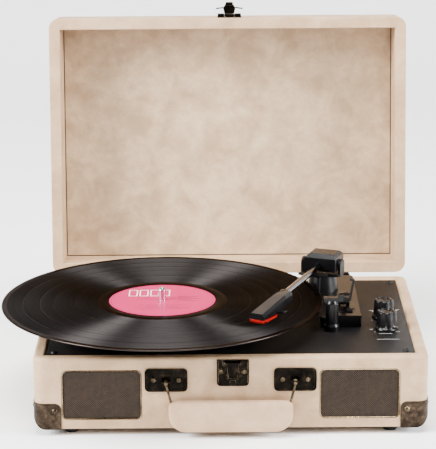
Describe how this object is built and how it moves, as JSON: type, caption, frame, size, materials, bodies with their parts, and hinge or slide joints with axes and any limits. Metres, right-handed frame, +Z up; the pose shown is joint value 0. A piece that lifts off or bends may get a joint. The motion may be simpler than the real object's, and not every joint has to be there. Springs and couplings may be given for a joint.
{
  "type": "turntable record player",
  "caption": "Portable suitcase record player with hinged lid, belt-driven platter carrying a record, pivoted tonearm with cueing, front speakers, latch and carrying handle.",
  "frame": {"origin": "centre of the footprint of the whole object, open lid and record included, on the plane the feet stand on", "axes": "+Z up, -Y towards the front with the speakers and handle, +X towards the knobs"},
  "size_m": [0.3944, 0.3852, 0.3469],
  "materials": {
    "leatherette": "pale suede-grain leatherette over board",
    "lid_lining": "pale leatherette, a little darker",
    "fibreboard": "plain fibreboard",
    "bottom_board": "dark pressed board",
    "deck_black": "satin black board",
    "antique_bronze": "antique bronze with rubbed edges",
    "bright_bronze": "worn bright at the heads",
    "grille_brown": "dark bronze mesh",
    "rubber": "matte black rubber",
    "black_plastic": "semi-gloss black",
    "matte_black": "matte black",
    "grey_plastic": "dark grey",
    "vinyl": "grooved black vinyl",
    "label_pink": "printed paper, pink",
    "chrome": "polished",
    "steel": "zinc plated",
    "motor_steel": "plated can",
    "brass": "turned brass",
    "stylus_red": "translucent red",
    "belt_rubber": "ground rubber",
    "circuit_green": "glass-epoxy board",
    "speaker_paper": "pressed paper cone"
  },
  "bodies": {
    "base": {"case_walls": "leatherette", "bottom_board": "bottom_board", "deck_board": "deck_black", "deck_blocks": "fibreboard", "deck_screws": "matte_black", "corner_guard_front_left": "antique_bronze", "corner_guard_front_right": "antique_bronze", "corner_guards_back": "antique_bronze", "guard_nails": "bright_bronze", "rubber_feet": "rubber", "chassis_screws": "steel", "grille_left": "grille_brown", "grille_right": "grille_brown", "speaker_left": "motor_steel", "speaker_right": "motor_steel", "speaker_cones": "speaker_paper", "handle_plate_left": "antique_bronze", "handle_plate_right": "antique_bronze", "catch_plate": "antique_bronze", "front_screws": "bright_bronze", "hinge_base_leaves": "antique_bronze", "hinge_pins": "bright_bronze", "hinge_screws": "bright_bronze", "spindle": "chrome", "drive_belt": "belt_rubber", "motor": "motor_steel", "arm_base": "black_plastic", "arm_rest": "black_plastic", "potentiometers": "steel", "amplifier_board": "circuit_green", "jack_plate": "matte_black", "rear_jacks": "steel", "adapter_45": "matte_black"},
    "lid": {"lid_walls": "leatherette", "lid_board": "lid_lining", "hinge_lid_leaves": "antique_bronze", "lid_screws": "bright_bronze", "hasp_plate": "antique_bronze"},
    "hasp": {"lid_hasp": "antique_bronze"},
    "handle": {"handle_grip": "leatherette", "handle_links": "bright_bronze"},
    "catch": {"catch_tongue": "antique_bronze"},
    "turntable": {"platter": "grey_plastic", "platter_mat": "rubber", "record": "vinyl", "record_label": "label_pink"},
    "pulley": {"motor_pulley": "brass"},
    "yoke": {"arm_yoke": "matte_black"},
    "tonearm": {"arm_tube": "chrome", "headshell": "black_plastic", "cartridge": "matte_black", "stylus": "stylus_red", "arm_housing": "black_plastic"},
    "lever": {"cue_lever": "matte_black"},
    "cue": {"cue_platform": "matte_black"},
    "clip": {"arm_clip": "matte_black"},
    "speed": {"speed_slider": "matte_black"},
    "autostop": {"autostop_slider": "matte_black"},
    "volume": {"volume_knob": "black_plastic"},
    "function": {"function_knob": "black_plastic"}
  },
  "joints": [
    {"name": "lid_hinge", "type": "hinge", "parent": "base", "child": "lid", "pos_m": [0.01711, 0.10816, 0.07425], "axis": [1, 0, 0], "range_deg": [0, 48]},
    {"name": "hasp_hinge", "type": "hinge", "parent": "lid", "child": "hasp", "pos_m": [0.01911, 0.14333, 0.334], "axis": [1, 0, 0], "range_deg": [-45, 80]},
    {"name": "handle_swing", "type": "hinge", "parent": "base", "child": "handle", "pos_m": [0.01711, -0.15844, 0.053], "axis": [-1, 0, 0], "range_deg": [0, 130]},
    {"name": "catch_press", "type": "hinge", "parent": "base", "child": "catch", "pos_m": [0.01911, -0.15434, 0.0694], "axis": [-1, 0, 0], "range_deg": [0, 22], "stiffness_Nm_per_rad": 0.02},
    {"name": "platter_spin", "type": "hinge", "parent": "base", "child": "turntable", "pos_m": [-0.04639, -0.04184, 0.0915], "axis": [0, 0, 1], "continuous": true},
    {"name": "motor_spin", "type": "hinge", "parent": "base", "child": "pulley", "pos_m": [-0.0973, 0.00907, 0.0825], "axis": [0, 0, 1], "continuous": true},
    {"name": "tonearm_swing", "type": "hinge", "parent": "base", "child": "yoke", "pos_m": [0.10811, 0.03466, 0.108], "axis": [0, 0, 1], "range_deg": [-22, 24]},
    {"name": "tonearm_lift", "type": "hinge", "parent": "yoke", "child": "tonearm", "pos_m": [0.10811, 0.03466, 0.108], "axis": [-0.9323, 0.3616, 0], "range_deg": [0, 4]},
    {"name": "cue_lever_lift", "type": "hinge", "parent": "base", "child": "lever", "pos_m": [0.12511, -0.02134, 0.087], "axis": [-1, 0, 0], "range_deg": [0, 34]},
    {"name": "cue_platform_rise", "type": "slide", "parent": "base", "child": "cue", "axis": [0, 0, 1], "range_m": [0, 0.0022]},
    {"name": "clip_hinge", "type": "hinge", "parent": "base", "child": "clip", "pos_m": [0.12091, -0.06934, 0.1046], "axis": [0, 1, 0], "range_deg": [-100, 0]},
    {"name": "speed_slide", "type": "slide", "parent": "base", "child": "speed", "axis": [0, 1, 0], "range_m": [-0.004, 0.004]},
    {"name": "autostop_slide", "type": "slide", "parent": "base", "child": "autostop", "axis": [0, 1, 0], "range_m": [-0.005, 0]},
    {"name": "volume_turn", "type": "hinge", "parent": "base", "child": "volume", "pos_m": [0.16291, -0.03234, 0.0825], "axis": [0, 0, -1], "range_deg": [-150, 150]},
    {"name": "function_turn", "type": "hinge", "parent": "base", "child": "function", "pos_m": [0.16291, -0.06814, 0.0825], "axis": [0, 0, -1], "range_deg": [-30, 30]}
  ],
  "couplings": [
    {"joint": "motor_spin", "follows": "platter_spin", "ratio": 11},
    {"joint": "cue_lever_lift", "follows": "tonearm_lift", "ratio": 8.4},
    {"joint": "cue_platform_rise", "follows": "tonearm_lift", "m_per_rad": 0.03}
  ]
}
